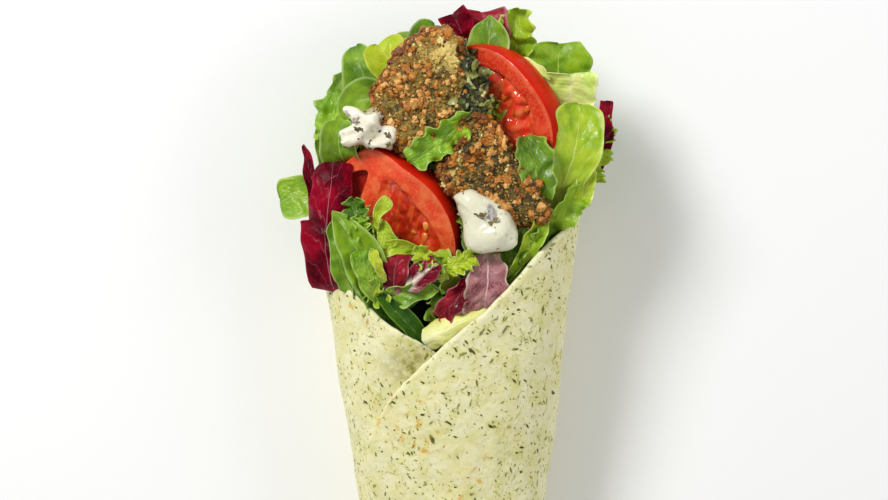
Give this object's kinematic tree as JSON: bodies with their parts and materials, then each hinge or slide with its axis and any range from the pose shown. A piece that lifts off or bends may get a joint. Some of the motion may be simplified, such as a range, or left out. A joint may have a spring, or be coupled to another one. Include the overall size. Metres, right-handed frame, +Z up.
{
  "type": "spinach cheese wrap",
  "caption": "Herb tortilla rolled into a cone around mixed salad, crumbed spinach cheese patties, tomato wedges and white sauce, lying on its back.",
  "frame": {"origin": "on the floor under the middle of the wrap's bounding box", "axes": "+Z up, away from the floor and out of the side that shows; +Y along the roll from the folded tail to the open mouth; +X to the right when the mouth points away"},
  "size_m": [0.1081, 0.2153, 0.0635],
  "materials": {
    "tortilla": "soft wheat sheet, pale cream green with dark herb flecks and a few toasted spots",
    "greens": "fresh mixed leaves, from dark spinach green to pale yellow green, satin with veins",
    "radicchio": "deep purple red leaf with white ribs, satin",
    "tomato": "glossy red skin, wet paler flesh and seed chambers",
    "patty": "fried golden brown crumb over dark green spinach and pale cheese",
    "sauce": "thick off-white yoghurt sauce with herb flecks, wet"
  },
  "bodies": {
    "root": {"tortilla": "tortilla", "salad": "greens", "radicchio_left": "radicchio", "radicchio_sliver": "radicchio", "radicchio_top": "radicchio", "radicchio_right": "radicchio", "radicchio_front_left": "radicchio", "radicchio_front_right": "radicchio", "tomato_left": "tomato", "tomato_right": "tomato", "patty_large": "patty", "patty_small": "patty", "sauce_left": "sauce", "sauce_right": "sauce"}
  },
  "joints": []
}
